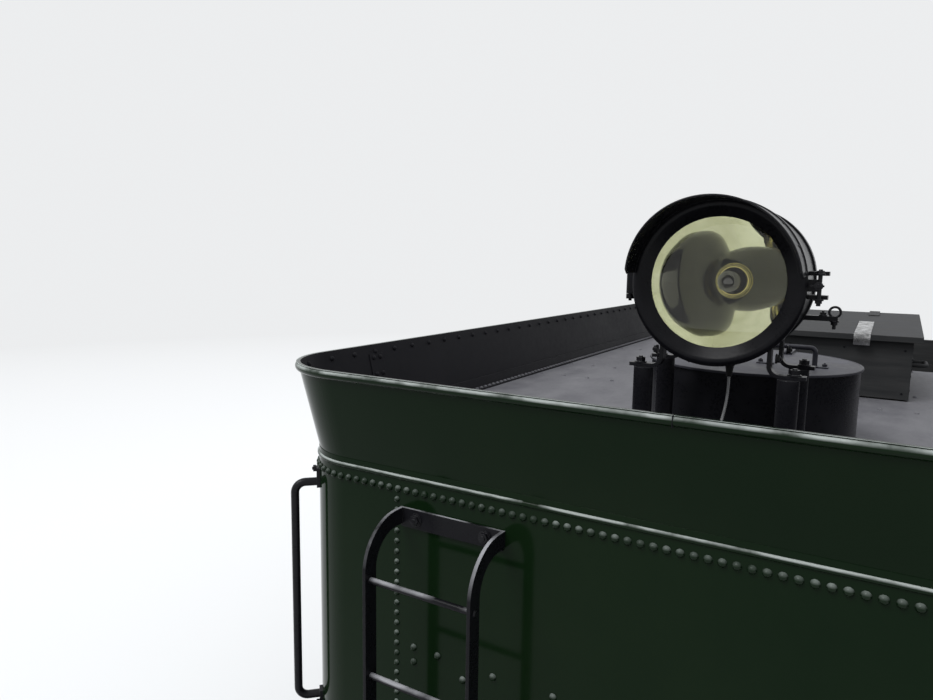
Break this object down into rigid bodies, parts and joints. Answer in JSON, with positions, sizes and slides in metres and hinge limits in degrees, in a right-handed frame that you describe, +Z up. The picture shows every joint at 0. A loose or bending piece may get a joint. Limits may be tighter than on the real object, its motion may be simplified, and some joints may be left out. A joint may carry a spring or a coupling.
{
  "type": "steam locomotive tender",
  "caption": "Narrow-gauge bogie tender with a flared black-lined coping, riveted green tank, hooded rear lamp, filler, toolbox, coal space, rear ladder and arch-bar bogies.",
  "frame": {"origin": "middle of the whole outline in plan, on the plane below the lowest points of the wheel flanges", "axes": "+X forward towards the engine, +Y to the left, +Z up"},
  "size_m": [5.8499, 2.332, 2.665],
  "materials": {
    "green_paint": "glossy very dark green",
    "coping_paint": "glossy dark green outside, satin black inside",
    "black_paint": "satin black",
    "frame_paint": "satin black with grime",
    "bogie_paint": "oily black",
    "deck_paint": "worn grey",
    "painted_wood": "weathered dark grey paint",
    "reflector": "tarnished silver",
    "lamp_glass": "clear, slightly dusty",
    "bulb_glass": "clear",
    "grey_conduit": "light grey flexible conduit",
    "cast_iron": "dark, rubbed bright where it works",
    "wheel_steel": "black with bright treads"
  },
  "bodies": {
    "root": {"tank_body": "green_paint", "waist_bead": "green_paint", "coping": "coping_paint", "coping_rim": "green_paint", "coping_splices": "black_paint", "tank_deck": "deck_paint", "filler_neck": "black_paint", "toolbox": "painted_wood", "lamp_posts": "black_paint", "lamp_brackets": "black_paint", "lamp_casing": "black_paint", "lamp_reflector": "reflector", "lamp_bulb": "bulb_glass", "lamp_lead": "grey_conduit", "rear_ladder": "black_paint", "grab_irons": "black_paint", "coal_boards": "painted_wood", "steps": "black_paint", "coupler_pocket": "frame_paint", "coupler_body": "cast_iron", "coupling_lever": "black_paint", "drawbar_pocket": "frame_paint", "hand_brake": "black_paint", "feed_pipes": "black_paint", "air_reservoir": "frame_paint", "brake_cylinder": "frame_paint", "body_bolsters": "frame_paint", "frame_sills": "frame_paint", "cross_bearers": "frame_paint", "end_beams": "frame_paint"},
    "rear_bogie": {"rear_bogie_side_frames": "bogie_paint", "rear_bogie_journal_boxes": "bogie_paint", "rear_bogie_bolster": "bogie_paint", "rear_bogie_spring_plank": "bogie_paint", "rear_bogie_springs": "bogie_paint", "rear_bogie_brake_gear": "bogie_paint"},
    "rear_inner_wheelset": {"rear_bogie_inner_wheelset": "wheel_steel"},
    "rear_outer_wheelset": {"rear_bogie_outer_wheelset": "wheel_steel"},
    "front_bogie": {"front_bogie_side_frames": "bogie_paint", "front_bogie_journal_boxes": "bogie_paint", "front_bogie_bolster": "bogie_paint", "front_bogie_spring_plank": "bogie_paint", "front_bogie_springs": "bogie_paint", "front_bogie_brake_gear": "bogie_paint"},
    "front_inner_wheelset": {"front_bogie_inner_wheelset": "wheel_steel"},
    "front_outer_wheelset": {"front_bogie_outer_wheelset": "wheel_steel"},
    "filler_lid": {"filler_lid": "black_paint"},
    "toolbox_lid": {"toolbox_lid": "painted_wood"},
    "lamp_door": {"lamp_door": "black_paint", "lamp_glass": "lamp_glass"},
    "knuckle": {"coupler_knuckle": "cast_iron"},
    "drawbar": {"drawbar": "cast_iron"}
  },
  "joints": [
    {"name": "rear_bogie_swing", "type": "hinge", "parent": "root", "child": "rear_bogie", "pos_m": [-1.36484, 0, 0.625], "axis": [0, 0, 1], "range_deg": [-10, 10]},
    {"name": "rear_inner_wheels", "type": "hinge", "parent": "rear_bogie", "child": "rear_inner_wheelset", "pos_m": [-0.66484, 0, 0.355], "axis": [0, 1, 0], "continuous": true},
    {"name": "rear_outer_wheels", "type": "hinge", "parent": "rear_bogie", "child": "rear_outer_wheelset", "pos_m": [-2.06484, 0, 0.355], "axis": [0, 1, 0], "continuous": true},
    {"name": "front_bogie_swing", "type": "hinge", "parent": "root", "child": "front_bogie", "pos_m": [1.33484, 0, 0.625], "axis": [0, 0, 1], "range_deg": [-10, 10]},
    {"name": "front_inner_wheels", "type": "hinge", "parent": "front_bogie", "child": "front_inner_wheelset", "pos_m": [0.63484, 0, 0.355], "axis": [0, 1, 0], "continuous": true},
    {"name": "front_outer_wheels", "type": "hinge", "parent": "front_bogie", "child": "front_outer_wheelset", "pos_m": [2.03484, 0, 0.355], "axis": [0, 1, 0], "continuous": true},
    {"name": "filler_lid_hinge", "type": "hinge", "parent": "root", "child": "filler_lid", "pos_m": [-1.195, 0, 2.2007], "axis": [0, 1, 0], "range_deg": [0, 110]},
    {"name": "toolbox_lid_hinge", "type": "hinge", "parent": "root", "child": "toolbox_lid", "pos_m": [0.243, 0, 2.243], "axis": [0, 1, 0], "range_deg": [0, 95]},
    {"name": "lamp_door_hinge", "type": "hinge", "parent": "root", "child": "lamp_door", "pos_m": [-2.071, 0.207, 2.47], "axis": [0, 0, -1], "range_deg": [0, 110]},
    {"name": "knuckle_hinge", "type": "hinge", "parent": "root", "child": "knuckle", "pos_m": [-2.8, 0.085, 0.66], "axis": [0, 0, -1], "range_deg": [0, 45]},
    {"name": "drawbar_swing", "type": "hinge", "parent": "root", "child": "drawbar", "pos_m": [2.435, 0, 0.66], "axis": [0, 0, 1], "range_deg": [-12, 12]}
  ]
}
